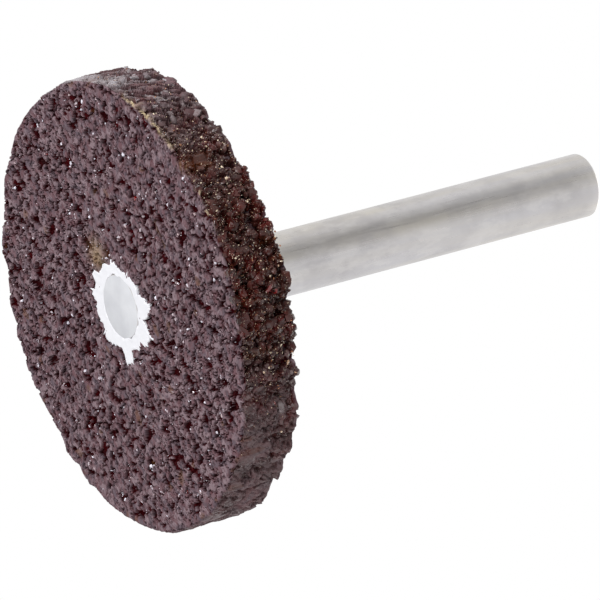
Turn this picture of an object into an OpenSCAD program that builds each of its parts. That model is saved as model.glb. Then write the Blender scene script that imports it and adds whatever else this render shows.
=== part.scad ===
// Mounted point: a flat wheel of coarse abrasive grain, cemented on a plain steel spindle.
// The wheel's front face lies on Z = 0 and the spindle rises along +Z. Millimetres.

/* [Wheel] */
// Diameter of the abrasive wheel
wheel_d = 42; // [30:0.5:60]
// Thickness of the abrasive wheel
wheel_t = 5.6; // [4:0.1:12]
// Width of the worn bevel along the outer edges of the wheel
edge_w = 0.4; // [0.2:0.05:0.8]

/* [Grain] */
// Spacing of the coarse grains in the wheel's skin
grain_w = 1; // [0.9:0.1:2]
// Depth of the deepest pit that a lost grain leaves
pit_depth = 0.6; // [0.3:0.05:0.8]
// Share of the grains that are lost, in percent
pit_share = 40; // [20:5:70]

/* [Spindle] */
// Diameter of the spindle
spindle_d = 6; // [4:0.1:8]
// Length of the spindle, from the wheel's front face to its free end
spindle_l = 50.6; // [30:0.1:80]
// Chamfer at the spindle's free end
free_chamfer = 0.3; // [0.1:0.05:0.8]
// Chamfer at the spindle's cemented end
seat_chamfer = 0.1; // [0.05:0.05:0.3]
// Number of flutes rolled into the cemented end
flute_count = 24; // [12:1:30]
// Depth of each flute
flute_depth = 0.15; // [0.1:0.05:0.2]
// Width of the neck turned behind the flutes, where the cement keys in
neck_w = 0.8; // [0.6:0.1:1.5]
// Depth of that neck
neck_depth = 0.3; // [0.2:0.05:0.5]

/* [Cement] */
// Thickness of the cement between the spindle and the wheel's bore
cement_film = 0.35; // [0.2:0.05:0.5]
// Mean reach of the cement past the spindle, where it fills the broken mouth of the bore
mouth_reach = 1.4; // [1:0.1:2.5]
// Depth of that broken mouth
mouth_depth = 0.6; // [0.3:0.1:1]

/* [Hidden] */
$fn = 96;

wheel_r = wheel_d / 2;
spindle_r = spindle_d / 2;
neck_r = spindle_r - neck_depth;
bore_r = spindle_r + cement_film;
flute_l = wheel_t - neck_w;
over = 0.1;

// Rings of grains over the front face, round the rim and over the back, as radius and height
land_r = spindle_r + 2 * mouth_reach;
face_rings = ceil((wheel_r - edge_w - land_r) / grain_w);
rim_rings = ceil((wheel_t - 2 * edge_w) / grain_w);
face_radii = [for (i = [0 : face_rings]) land_r + (wheel_r - edge_w - land_r) * i / face_rings];
rim_heights = [for (i = [0 : rim_rings]) edge_w + (wheel_t - 2 * edge_w) * i / rim_rings];
rings = concat(
    [for (r = face_radii) [r, 0]],
    [for (z = rim_heights) [wheel_r, z]],
    [for (i = [face_rings : -1 : 0]) [face_radii[i], wheel_t]]
);
// Grains in a full ring, and in the smaller rings within half_r
full_turn = 2 * ceil(PI * wheel_r / grain_w);
half_turn = full_turn / 2;
half_r = 0.7 * wheel_r;
// Share of a pit's depth that is left beside the outer edges, which were pressed firmer
edge_share = 0.35;
grain_seed = 7;

// Outline of the broken mouth: angle about the axis, and reach as a share of mouth_reach
mouth_points = [
    [-100, 0.50], [-97, 0.95], [-88, 1.20], [-83, 1.85], [-74, 1.30], [-67, 0.95],
    [-64, 0.60], [-52, 1.40], [-45, 1.50], [-38, 1.30], [-32, 1.35], [-29, 0.75],
    [-22, 0.80], [-17, 1.10], [-11, 0.75], [1, 0.80], [5, 1.65], [18, 1.65],
    [22, 0.95], [30, 0.70], [45, 0.95], [60, 1.40], [67, 0.95], [78, 0.90],
    [90, 1.20], [104, 0.95], [111, 1.45], [120, 1.10], [129, 1.00], [134, 1.55],
    [141, 1.45], [146, 0.85], [163, 0.90], [183, 0.65], [192, 0.85], [207, 0.40],
    [226, 0.50], [242, 0.70], [254, 0.65]
];

// Point at a radius and an angle about the axis
function polar(radius, angle) = [radius * cos(angle), radius * sin(angle)];

module mouth_outline() {
    polygon([for (p = mouth_points) polar(spindle_r + p[1] * mouth_reach, p[0])]);
}

// Number of grains in ring i, and of those in all rings before it
function turns(i) = rings[i][0] < half_r ? half_turn : full_turn;
function before(i) = i == 0 ? 0 : before(i - 1) + turns(i - 1);

// A chance from 0 to 100 for each grain, by which it is whole or lost
chances = rands(0, 100, before(len(rings)), grain_seed);

// Depth of grain k in ring i below the dressed skin: none where it is whole, or on the land round the cement
function beside_edge(ring) = max(wheel_r - ring[0], min(ring[1], wheel_t - ring[1])) < 1.5 * edge_w;
function full_depth(i) =
    i == 0 || i == len(rings) - 1 ? 0 : beside_edge(rings[i]) ? edge_share * pit_depth : pit_depth;
function sunk(i, k) = full_depth(i) * max(0, 1 - chances[k] / pit_share);

// Corner at an angle in a ring, moved in from the face or the rim that the ring lies on
function corner(ring, angle, depth) =
    let (on_rim = ring[0] == wheel_r, up = ring[1] == 0 ? 1 : -1)
    on_rim ? [each polar(wheel_r - depth, angle), ring[1]] : [each polar(ring[0], angle), ring[1] + up * depth];

function ring_corners(i) =
    let (n = turns(i), first = before(i))
    [for (j = [0 : n - 1]) corner(rings[i], (j + (i % 2) / 2) * 360 / n, sunk(i, first + j))];

// Triangles between ring i and the next, which has as many corners, or twice or half as many
function ring_faces(i) =
    let (n = turns(i), m = turns(i + 1), a = before(i), b = before(i + 1))
    n == m ? [
        for (j = [0 : n - 1])
        let (k = (j + 1) % n)
        each i % 2 == 0
            ? [[a + j, a + k, b + j], [a + k, b + k, b + j]]
            : [[a + j, b + k, b + j], [a + j, a + k, b + k]]
    ] : n < m ? [
        for (j = [0 : n - 1])
        let (k = (j + 1) % n, p = b + 2 * j, q = b + 2 * k)
        each [[a + j, p + 1, p], [a + j, a + k, p + 1], [a + k, q, p + 1]]
    ] : [
        for (j = [0 : m - 1])
        let (k = (j + 1) % m, p = a + 2 * j, q = a + 2 * k)
        each [[b + j, p, p + 1], [b + j, p + 1, b + k], [b + k, p + 1, q]]
    ];

// The whole wheel before it is bored: flat dressed grains with pits between them
module grain_skin() {
    last = len(rings) - 1;
    polyhedron(
        points = [for (i = [0 : last]) each ring_corners(i)],
        faces = concat(
            [[for (j = [turns(0) - 1 : -1 : 0]) j]],
            [for (i = [0 : last - 1]) each ring_faces(i)],
            [[for (j = [0 : turns(last) - 1]) before(last) + j]]
        )
    );
}

// What the cement and the spindle fill: the bore and its broken mouth
module bore_space() {
    translate([0, 0, -over]) cylinder(r = bore_r, h = wheel_t + 2 * over);
    translate([0, 0, -over]) linear_extrude(mouth_depth + over) mouth_outline();
}

module abrasive_wheel() {
    color([0.33, 0.26, 0.28])
    difference() {
        grain_skin();
        bore_space();
    }
}

// Half section of the spindle: fluted end, neck and plain shank, chamfered at both ends
module spindle_section() {
    polygon([
        [0, 0],
        [spindle_r - seat_chamfer, 0],
        [spindle_r, seat_chamfer],
        [spindle_r, flute_l],
        [neck_r, flute_l],
        [neck_r, wheel_t],
        [spindle_r, wheel_t],
        [spindle_r, spindle_l - free_chamfer],
        [spindle_r - free_chamfer, spindle_l],
        [0, spindle_l]
    ]);
}

// One right-angled V groove along the cemented end
module flute() {
    translate([spindle_r - flute_depth, 0, -over])
    rotate(-45) linear_extrude(flute_l + over) square(2 * flute_depth);
}

module spindle() {
    color([0.78, 0.78, 0.79])
    difference() {
        rotate_extrude() spindle_section();
        for (i = [0 : flute_count - 1]) rotate(i * 360 / flute_count) flute();
    }
}

module bond_cement() {
    color([0.93, 0.93, 0.95])
    difference() {
        union() {
            cylinder(r = bore_r, h = wheel_t);
            linear_extrude(mouth_depth) mouth_outline();
        }
        spindle();
    }
}

abrasive_wheel();
bond_cement();
spindle();
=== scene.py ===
import bmesh
import bpy
import numpy as np
from mathutils import Matrix, Vector


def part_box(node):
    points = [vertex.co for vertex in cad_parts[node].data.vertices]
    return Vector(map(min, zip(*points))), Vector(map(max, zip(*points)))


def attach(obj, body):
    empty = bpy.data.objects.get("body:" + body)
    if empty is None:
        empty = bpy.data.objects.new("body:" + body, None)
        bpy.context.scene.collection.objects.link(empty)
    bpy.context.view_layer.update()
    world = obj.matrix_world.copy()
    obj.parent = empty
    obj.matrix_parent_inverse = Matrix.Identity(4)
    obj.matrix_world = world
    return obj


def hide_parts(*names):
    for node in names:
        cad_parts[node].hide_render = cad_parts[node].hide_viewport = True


# Mounted point: a flat wheel of coarse dark grain, cemented on a plain steel spindle
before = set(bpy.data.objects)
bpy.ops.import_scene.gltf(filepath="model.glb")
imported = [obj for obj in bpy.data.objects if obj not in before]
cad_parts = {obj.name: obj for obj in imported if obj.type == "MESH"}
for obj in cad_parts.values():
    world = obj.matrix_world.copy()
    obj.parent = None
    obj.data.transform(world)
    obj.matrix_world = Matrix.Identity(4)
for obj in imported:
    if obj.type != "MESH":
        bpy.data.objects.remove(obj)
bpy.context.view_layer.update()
mm = 0.001

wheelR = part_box("abrasive_wheel")[1].x
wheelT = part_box("abrasive_wheel")[1].z
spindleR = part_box("spindle")[1].x
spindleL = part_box("spindle")[1].z
print("frame loaded: wheel", round(2 * wheelR / mm, 2), "mm across,", round(wheelT / mm, 2), "mm thick")


# Meshes

def addPiece(name, points, faces, material, masks=None, uv=None, seam=None, smoothAngle=None):
    # Puts whole arrays of points and faces into a new mesh, with one float attribute for each mask. seam is
    # the width that a UV map of one full turn is drawn to, so that the faces that close it fit beside it
    mesh = bpy.data.meshes.new(name)
    sides = faces.shape[1]
    mesh.vertices.add(len(points))
    mesh.vertices.foreach_set("co", points.astype(np.float32).ravel())
    mesh.loops.add(faces.size)
    mesh.loops.foreach_set("vertex_index", faces.astype(np.int32).ravel())
    mesh.polygons.add(len(faces))
    mesh.polygons.foreach_set("loop_start", np.arange(0, faces.size, sides, dtype=np.int32))
    mesh.update(calc_edges=True)
    for maskName, values in (masks or {}).items():
        layer = mesh.attributes.new(maskName, "FLOAT", "POINT")
        layer.data.foreach_set("value", values.astype(np.float32))
    if uv is not None:
        layer = mesh.uv_layers.new(name="OFBake")
        corners = uv[faces] * (seam or 1.0, 1.0)
        if seam:
            closing = np.ptp(corners[..., 0], axis=1, keepdims=True) > 0.5
            corners[..., 0] += seam * (closing & (corners[..., 0] < 0.25))
        layer.uv.foreach_set("vector", corners.astype(np.float32).ravel())
    mesh.polygons.foreach_set("use_smooth", np.full(len(faces), smoothAngle is not None))
    if smoothAngle is not None:
        mesh.set_sharp_from_angle(angle=np.radians(smoothAngle))
    mesh.materials.append(material)
    piece = bpy.data.objects.new(name, mesh)
    bpy.context.scene.collection.objects.link(piece)
    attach(piece, "root")
    print("made", name, "with", len(faces) * (sides - 2), "triangles")
    return piece


def waves(places, size, seed, count=20):
    # Smooth field of about -1 to 1: a sum of sine waves in random directions, each about size long
    rng = np.random.default_rng(seed)
    ways = rng.normal(size=(count, places.shape[-1]))
    ways /= np.linalg.norm(ways, axis=1, keepdims=True)
    ways *= 2 * np.pi / size * rng.uniform(0.6, 1.5, (count, 1))
    return np.sin(places @ ways.T + rng.uniform(0, 2 * np.pi, count)).sum(-1) / np.sqrt(count)


def gridFaces(rows, columns, closeRows=False):
    # Quads of a grid whose columns close on themselves, and whose rows may too
    row = np.arange(rows if closeRows else rows - 1)
    column = np.arange(columns)
    r, c = np.meshgrid(row, column, indexing="ij")
    nextR, nextC = (r + 1) % rows, (c + 1) % columns
    corners = [r * columns + c, r * columns + nextC, nextR * columns + nextC, nextR * columns + c]
    return np.stack(corners, -1).reshape(-1, 4)


def revolve(profile, turns):
    # Carries a profile of (radius, height) round the Z axis: points are (r cos a, r sin a, z)
    a = np.linspace(0, 2 * np.pi, turns, endpoint=False)
    r, z = profile[:, :1], profile[:, 1:]
    return np.stack([r * np.cos(a), r * np.sin(a), z + 0 * a], -1)


def alongLine(corners, step):
    # Points about step apart along a chain of straight lines
    corners = np.array(corners, float)
    legs = np.linalg.norm(np.diff(corners, axis=0), axis=1)
    at = np.concatenate([[0], np.cumsum(legs)])
    where = np.union1d(np.linspace(0, at[-1], int(at[-1] / step) + 2), at)
    return np.stack([np.interp(where, at, corners[:, i]) for i in range(2)], 1)


# Shader helpers

def addNode(tree, kind, inputs=None, **settings):
    node = tree.nodes.new(kind)
    for key, value in settings.items():
        setattr(node, key, value)
    for key, value in (inputs or {}).items():
        if isinstance(value, bpy.types.NodeSocket):
            tree.links.new(value, node.inputs[key])
        else:
            node.inputs[key].default_value = value
    return node


def mathNode(tree, operation, a, b=0.0, clamp=False):
    return addNode(tree, "ShaderNodeMath", {0: a, 1: b}, operation=operation, use_clamp=clamp).outputs[0]


def times(tree, a, b):
    return mathNode(tree, "MULTIPLY", a, b)


def plus(tree, a, b, clamp=False):
    return mathNode(tree, "ADD", a, b, clamp)


def mixColour(tree, share, a, b):
    return addNode(tree, "ShaderNodeMix", {0: share, 6: a, 7: b}, data_type="RGBA").outputs[2]


def ramp(tree, value, low, high, fromLow=0.0, fromHigh=1.0):
    inputs = {0: value, 1: fromLow, 2: fromHigh, 3: low, 4: high}
    return addNode(tree, "ShaderNodeMapRange", inputs, clamp=True).outputs[0]


def noise(tree, place, scale, detail=3.0, rough=0.55):
    inputs = {"Vector": place, "Scale": scale, "Detail": detail, "Roughness": rough}
    return addNode(tree, "ShaderNodeTexNoise", inputs).outputs["Fac"]


def attribute(tree, name):
    return addNode(tree, "ShaderNodeAttribute", attribute_name=name).outputs["Fac"]


def newGroup(name, inputs, outputs):
    group = bpy.data.node_groups.new(name, "ShaderNodeTree")
    for kind, label, start in inputs:
        socket = group.interface.new_socket(label, in_out="INPUT", socket_type=kind)
        socket.default_value = start
    for kind, label in outputs:
        group.interface.new_socket(label, in_out="OUTPUT", socket_type=kind)
    return group, group.nodes.new("NodeGroupInput"), group.nodes.new("NodeGroupOutput")


def newMaterial(name):
    material = bpy.data.materials.new(name)
    material.use_nodes = True
    tree = material.node_tree
    return material, tree, tree.nodes["Principled BSDF"]


def bumpNormal(tree, strength, distance, height):
    inputs = {"Strength": strength, "Distance": distance, "Height": height}
    return addNode(tree, "ShaderNodeBump", inputs).outputs[0]


def rgb(red, green, blue):
    # A colour given in display values of 0 to 255, as linear light
    c = np.array([red, green, blue]) / 255
    linear = np.where(c <= 0.04045, c / 12.92, ((c + 0.055) / 1.055) ** 2.4)
    return (*linear.tolist(), 1.0)


def buildMottle():
    # Blotches in two sizes: a colour varied in lightness, a mask and a height
    group, start, end = newGroup(
        "mottle",
        [("NodeSocketColor", "Color", (0.5, 0.5, 0.5, 1)), ("NodeSocketFloat", "Scale", 500.0),
         ("NodeSocketFloat", "Depth", 0.3)],
        [("NodeSocketColor", "Color"), ("NodeSocketFloat", "Mask"), ("NodeSocketFloat", "Height")],
    )
    place = addNode(group, "ShaderNodeTexCoord").outputs["Object"]
    coarse = noise(group, place, start.outputs["Scale"], 4.0)
    fine = noise(group, place, times(group, start.outputs["Scale"], 4.3), 3.0)
    both = plus(group, times(group, coarse, 0.65), times(group, fine, 0.35))
    mask = ramp(group, both, 0.0, 1.0, 0.34, 0.66)
    centred = mathNode(group, "SUBTRACT", mask, 0.5)
    gain = plus(group, times(group, centred, start.outputs["Depth"]), 1.0)
    varied = addNode(group, "ShaderNodeVectorMath", {0: start.outputs["Color"]}, operation="SCALE")
    group.links.new(gain, varied.inputs["Scale"])
    group.links.new(varied.outputs[0], end.inputs["Color"])
    group.links.new(mask, end.inputs["Mask"])
    group.links.new(both, end.inputs["Height"])
    return group


grainTexture = {
    # noise scales per metre: specks in each grain, clouds of red, tints of the dust, and the flecks of
    # painted glint
    "speck": 2600.0,
    "cloud": 480.0,
    "tint": 1100.0,
    "paintedGlintSpeck": 6000.0,
    "paintedGlintSpeckFrom": (0.7, 0.74),  # noise level at which a fleck starts, and is full
    "toneShare": 0.6,  # how far a grain's tone sets its shade; its specks set the rest
}


def buildGrain(values):
    # Colour of bonded grain from its masks: tone picks the grain's own shade, dust greys what was dressed,
    # cream and smear stain it, and a chip takes a painted glint colour, or a gem's red. Flecks are painted
    # glints in specks too small to model, on grain that no dust covers
    colours = ["Dark", "Light", "Red", "Dust", "Cool", "Pink", "Cream", "Smear", "PaintedGlint", "AmberAndPaintedGlint", "Gem"]
    group, start, end = newGroup(
        "grain",
        [("NodeSocketColor", label, (0, 0, 0, 1)) for label in colours]
        + [("NodeSocketFloat", "Gloss", 0.2), ("NodeSocketFloat", "PaintedGlintSpeck", 0.0)],
        [("NodeSocketColor", "Color"), ("NodeSocketFloat", "Roughness"), ("NodeSocketFloat", "Coat"),
         ("NodeSocketFloat", "Height")],
    )
    given = start.outputs
    tone, dust, paintedGlintChip = (attribute(group, name) for name in ("tone", "dust", "paintedGlintChip"))
    place = addNode(group, "ShaderNodeTexCoord").outputs["Object"]
    speck = noise(group, place, values["speck"], 3.0, 0.65)
    cloud = noise(group, place, values["cloud"], 3.0)
    tint = noise(group, place, values["tint"], 2.0)
    shade = plus(group, times(group, tone, values["toneShare"]), times(group, speck, 1 - values["toneShare"]))
    body = mixColour(group, shade, given["Dark"], given["Light"])
    body = mixColour(group, ramp(group, cloud, 0.0, 0.75, 0.48, 0.7), body, given["Red"])
    powder = mixColour(group, ramp(group, tint, 0.0, 1.0, 0.42, 0.6), given["Dust"], given["Cool"])
    powder = mixColour(group, ramp(group, tone, 0.0, 1.0, 0.3, 0.9), powder, given["Pink"])
    powder = mixColour(group, ramp(group, speck, 0.3, 0.0, 0.3, 0.5), powder, given["Light"])
    cover = times(group, dust, ramp(group, speck, 0.7, 1.0, 0.3, 0.5))
    colour = mixColour(group, cover, body, powder)
    for name, share in (("smear", 0.8), ("cream", 0.9)):
        stained = times(group, attribute(group, name), ramp(group, speck, 0.4, share, 0.3, 0.55))
        colour = mixColour(group, stained, colour, given[name.capitalize()])
    # Painted glints: flecks of the bright glint colour where no dust covers the grain
    paintedGlintSpeck = ramp(group, noise(group, place, values["paintedGlintSpeck"], 1.0), 0.0, 1.0, *values["paintedGlintSpeckFrom"])
    paintedGlintSpeck = times(group, times(group, paintedGlintSpeck, ramp(group, cover, 1.0, 0.0, 0.1, 0.4)), given["PaintedGlintSpeck"])
    colour = mixColour(group, paintedGlintSpeck, colour, given["PaintedGlint"])
    # A chip takes a painted glint colour, white to amber by its tone, or the red of a gem
    bright = mixColour(group, ramp(group, tone, 0.0, 1.0, 0.3, 0.8), given["PaintedGlint"], given["AmberAndPaintedGlint"])
    bright = mixColour(group, ramp(group, tone, 0.0, 1.0, 0.97, 0.98), bright, given["Gem"])
    colour = mixColour(group, paintedGlintChip, colour, bright)
    matt = plus(group, given["Gloss"], times(group, cover, 0.6))
    matt = plus(group, matt, times(group, speck, 0.1), clamp=True)
    relief = times(group, speck, ramp(group, cover, 1.0, 0.2, 0.0, 0.6))
    group.links.new(colour, end.inputs["Color"])
    group.links.new(matt, end.inputs["Roughness"])
    group.links.new(paintedGlintChip, end.inputs["Coat"])
    group.links.new(relief, end.inputs["Height"])
    return group


mottleGroup = buildMottle()
grainGroup = buildGrain(grainTexture)


def grainMaterial(name, colours, values):
    material, tree, shader = newMaterial(name)
    inputs = {**colours, "Gloss": values["gloss"], "PaintedGlintSpeck": values["paintedGlintSpeck"]}
    grain = addNode(tree, "ShaderNodeGroup", inputs, node_tree=grainGroup).outputs
    tree.links.new(grain["Color"], shader.inputs["Base Color"])
    tree.links.new(grain["Roughness"], shader.inputs["Roughness"])
    tree.links.new(grain["Coat"], shader.inputs["Coat Weight"])
    tree.links.new(bumpNormal(tree, 0.6, values["bump"], grain["Height"]), shader.inputs["Normal"])
    shader.inputs["Coat Roughness"].default_value = values["coatRough"]
    shader.inputs["Specular IOR Level"].default_value = values["specular"]
    return material


def mottledMaterial(name, values):
    material, tree, shader = newMaterial(name)
    inputs = {"Color": values["colour"], "Scale": values["scale"], "Depth": values["depth"]}
    mottle = addNode(tree, "ShaderNodeGroup", inputs, node_tree=mottleGroup).outputs
    tree.links.new(mottle["Color"], shader.inputs["Base Color"])
    tree.links.new(ramp(tree, mottle["Mask"], *values["rough"]), shader.inputs["Roughness"])
    tree.links.new(bumpNormal(tree, 0.5, values["bump"], mottle["Height"]), shader.inputs["Normal"])
    return material


faceColours = {
    "Dark": rgb(10, 0, 2), "Light": rgb(70, 16, 21), "Red": rgb(74, 6, 13), "Dust": rgb(123, 95, 101),
    "Cool": rgb(111, 98, 106), "Pink": rgb(143, 124, 130), "Cream": rgb(226, 206, 166),
    # The crystal and amber colours here are painted glints for the chips and flecks; Gem is a red grain's own
    # colour
    "Smear": rgb(112, 78, 48), "PaintedGlint": rgb(240, 236, 248), "AmberAndPaintedGlint": rgb(190, 166, 170),
    "Gem": rgb(120, 16, 14),
}
faceLook = {"gloss": 0.3, "paintedGlintSpeck": 0.0, "specular": 0.02, "coatRough": 0.12, "bump": 0.012 * mm}
rimColours = {
    "Dark": rgb(3, 0, 0), "Light": rgb(84, 39, 29), "Red": rgb(92, 18, 12), "Dust": rgb(114, 86, 90),
    # The rim's Pink also serves as the painted highlight on its pressed cap, where rimField raises the tone
    "Cool": rgb(104, 86, 91), "Pink": rgb(170, 164, 168), "Cream": rgb(220, 202, 168),
    # The crystal and amber colours here are painted glints for the chips and flecks; Gem is a red grain's own
    # colour
    "Smear": rgb(94, 48, 22), "PaintedGlint": rgb(240, 220, 192), "AmberAndPaintedGlint": rgb(164, 108, 70),
    "Gem": rgb(112, 12, 10),
}
# fleck sets how strong the painted glint flecks are on the rim
rimLook = {"gloss": 0.05, "paintedGlintSpeck": 0.8, "specular": 0.34, "coatRough": 0.12, "bump": 0.12 * mm}
cementLook = {
    "colour": rgb(239, 239, 244),
    "scale": 700.0,
    "depth": 0.06,
    "rough": (0.7, 0.9),
    "bump": 0.03 * mm,
}
steelLook = {
    "streak": 0.04,  # how little the streaks and the pale patches change along the axis
    "patch": 0.5,
    "warm": rgb(203, 198, 190),
    "cool": rgb(195, 193, 195),
    "worn": rgb(176, 173, 174),
    "pale": rgb(214, 211, 209),
    "haze": (rgb(203, 204, 209), rgb(222, 223, 227)),
    "rough": (0.26, 0.4),
    "bump": 0.002 * mm,
}


def steelMaterial(name, values):
    # Drawn steel: fine streaks along the axis, warm and cool in turn, with worn and pale patches, and a pale
    # haze where the cement was wiped
    material, tree, shader = newMaterial(name)
    place = addNode(tree, "ShaderNodeTexCoord").outputs["Object"]
    streak, patch = (
        addNode(tree, "ShaderNodeMapping", {"Vector": place, "Scale": (1.0, 1.0, values[key])}).outputs[0]
        for key in ("streak", "patch")
    )
    broad, fine = noise(tree, streak, 500.0, 2.0), noise(tree, streak, 5200.0, 2.0)
    cloud = noise(tree, place, 260.0, 3.0)
    spots = noise(tree, patch, 620.0, 4.0, 0.7)
    haze = attribute(tree, "haze")
    colour = mixColour(tree, ramp(tree, broad, 0.0, 1.0, 0.35, 0.65), values["warm"], values["cool"])
    colour = mixColour(tree, ramp(tree, cloud, 0.0, 0.6, 0.4, 0.65), colour, values["worn"])
    colour = mixColour(tree, ramp(tree, spots, 0.0, 0.35, 0.5, 0.62), colour, values["pale"])
    wiped = mixColour(tree, ramp(tree, cloud, 0.0, 1.0, 0.35, 0.7), *values["haze"])
    colour = mixColour(tree, haze, colour, wiped)
    rough = plus(tree, ramp(tree, fine, *values["rough"], 0.3, 0.7), times(tree, haze, 0.3))
    tree.links.new(colour, shader.inputs["Base Color"])
    tree.links.new(rough, shader.inputs["Roughness"])
    tree.links.new(ramp(tree, haze, 1.0, 0.12), shader.inputs["Metallic"])
    tree.links.new(bumpNormal(tree, 0.4, values["bump"], fine), shader.inputs["Normal"])
    return material


faceGrain = grainMaterial("dressed grain", faceColours, faceLook)
rimGrain = grainMaterial("rim grain", rimColours, rimLook)
cementWhite = mottledMaterial("white cement", cementLook)
groundSteel = steelMaterial("ground steel", steelLook)
print("materials made")


# Grains of the CAD skin: each of its corners is one coarse grain, with its place and how deep it is sunk

def nodePoints(name):
    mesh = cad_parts[name].data
    points = np.empty(len(mesh.vertices) * 3, np.float32)
    mesh.vertices.foreach_get("co", points)
    return np.unique(points.reshape(-1, 3).round(6).astype(float), axis=0)


def polar(places):
    # Radius, and angle in degrees from the +X side
    x, y = places[..., 0], places[..., 1]
    return np.hypot(x, y), np.degrees(np.arctan2(y, x)) % 360


def unrolled(places):
    # The rim laid flat: way round it from the +X side, and height
    return np.stack([np.radians(polar(places)[1]) * wheelR, places[..., 2]], -1)


grainSites = {
    "land": 5.7 * mm,  # the CAD face is plain within this radius, so grains are added there
    "added": ((5.0 * mm, 34), (4.2 * mm, 28)),  # radius and number of each ring of them
    "addedShift": 0.6,  # how far one may lie along its ring, as a share of their spacing
    "addedLoss": (-0.6, 0.4),  # range of their depth in mm; those below 0 are whole
    "deepest": 0.75 * mm,
    "edge": 0.25 * mm,  # corners nearer to an outer edge than this belong to the other side of it
    "lapOver": 3 * mm,  # length of the rim that is repeated at each end, so that the lap closes
}


def faceSites(values, side, seed):
    # Columns are x, y and depth below the face
    rng = np.random.default_rng(seed)
    corners = nodePoints("abrasive_wheel")
    depth = wheelT - corners[:, 2] if side else corners[:, 2]
    r = polar(corners)[0]
    keep = (depth < values["deepest"]) & (r > values["land"]) & (r < wheelR - values["edge"])
    sites = [np.column_stack([corners[keep, :2], depth[keep]])]
    for radius, count in values["added"]:
        a = 2 * np.pi * (np.arange(count) + rng.random(count) * values["addedShift"]) / count
        lost = np.maximum(0, rng.uniform(*values["addedLoss"], count)) * mm
        sites.append(np.column_stack([radius * np.cos(a), radius * np.sin(a), lost]))
    return np.concatenate(sites)


def rimSites(values):
    # Columns are way round, height and depth below the rim
    corners = nodePoints("abrasive_wheel")
    depth = wheelR - polar(corners)[0]
    inside = np.minimum(corners[:, 2], wheelT - corners[:, 2])
    keep = (depth < values["deepest"]) & (inside > values["edge"])
    sites = np.column_stack([unrolled(corners[keep]), depth[keep]])
    lap = np.array([2 * np.pi * wheelR, 0, 0])
    low, high = sites[:, 0] < values["lapOver"], sites[:, 0] > lap[0] - values["lapOver"]
    return np.concatenate([sites, sites[low] + lap, sites[high] - lap])


frontSites, backSites = faceSites(grainSites, 0, 5), faceSites(grainSites, 1, 6)
lapSites = rimSites(grainSites)
print("grains read from the frame:", len(frontSites), "front,", len(lapSites), "rim,", len(backSites), "back")


# Shape of the wheel: depth fields over its faces and rim

wheelShape = {
    "edge": 0.4 * mm,  # round of the outer edges
    # round the rim by the angle in degrees: how far it is pressed smooth, how platy, and how grey it is
    "angle": (0, 45, 90, 140, 180, 212, 228, 240, 252, 282, 293, 302, 318, 345, 360),
    "smooth": (0.85, 0.6, 0.2, 0.3, 0.15, 0.1, 0.1, 0.15, 0.0, 0.0, 0.15, 0.45, 0.7, 0.8, 0.85),
    "plates": (0.6, 0.3, 0.0, 0.2, 1.0, 0.95, 0.6, 0.2, 0.0, 0.0, 0.2, 0.4, 0.6, 0.7, 0.6),
    "grey": (0.86, 0.5, 0.3, 0.4, 1.1, 0.95, 0.3, 0.12, 0.05, 0.05, 0.16, 0.42, 0.66, 0.86, 0.86),
}

# Unevenness of the wheel's outer edge in mm by the angle, measured on the photograph's outline, thinned and
# rounded. shares are its shares at the front and back of the rim, for the half turn that starts on the +X
# side and for the other
wheelEdge = {
    "angle": (0, 9, 18, 27, 36, 42, 45, 48, 51, 54, 57, 60, 69, 75, 81, 87, 90, 93, 96, 99, 102, 108, 111,
              114, 120, 126, 132, 141, 150, 159, 168, 174, 180, 186, 195, 201, 204, 207, 210, 216, 219, 222,
              225, 228, 231, 237, 240, 243, 246, 252, 255, 258, 264, 273, 276, 279, 282, 285, 288, 294, 297,
              300, 303, 306, 312, 315, 318, 321, 324, 327, 331, 332.5, 336, 342, 348, 360),
    "reach": (-0.15, -0.1, -0.2, -0.1, 0.0, -0.2, 0.1, 0.0, -0.5, 0.0, 0.15, -0.5, -0.4, 0.0, 0.3, 0.0, 0.4,
              -0.2, 0.1, 0.35, -0.2, -0.35, 0.35, 0.4, -0.25, -0.2, 0.1, -0.1, 0.0, -0.2, -0.3, -0.35, -0.2,
              -0.2, -0.3, 0.2, 0.0, -0.15, 0.2, 0.1, 0.4, 0.1, 0.2, -0.5, 0.0, 0.15, -0.35, -0.3, 0.2,
              -0.15, 0.6, 0.15, 0.35, 0.5, 0.3, -0.5, -0.2, 0.0, -0.35, -0.45, 0.3, -0.45, -0.35, 0.5, 0.45,
              0.05, 0.45, 0.2, -0.2, 0.2, 0.2, -0.4, -0.2, 0.2, -0.1, -0.15),
    "more": 0.3,  # added to every reach
    "shares": ((1.0, 0.6), (0.3, 1.0)),
    "deep": 2.5 * mm,  # how far in from the outer edge the faces follow it
}


def rise(values, low, high):
    # Smooth step from 0 at low to 1 at high
    t = np.clip((values - low) / (high - low), 0, 1)
    return t * t * (3 - 2 * t)


def window(angle, limits, fade=4.0):
    # 1 between two angles, and 0 outside, with a smooth step about each
    start, end = (rise(angle, limit - fade, limit + fade) for limit in limits)
    return start * (1 - end)


def edgeReach(places):
    # How far the outer edge stands out beyond the plain wheel, fading out from the rim towards the axis
    r, angle = polar(places)
    reach = (np.interp(angle, wheelEdge["angle"], wheelEdge["reach"]) + wheelEdge["more"]) * mm
    high = np.clip(places[..., 2] / wheelT, 0, 1)
    near, far = (front + (back - front) * high for front, back in wheelEdge["shares"])
    half = window(angle, (180, 360), 3)
    return reach * (near + (far - near) * half) * rise(r, wheelR - wheelEdge["deep"], wheelR)


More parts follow.
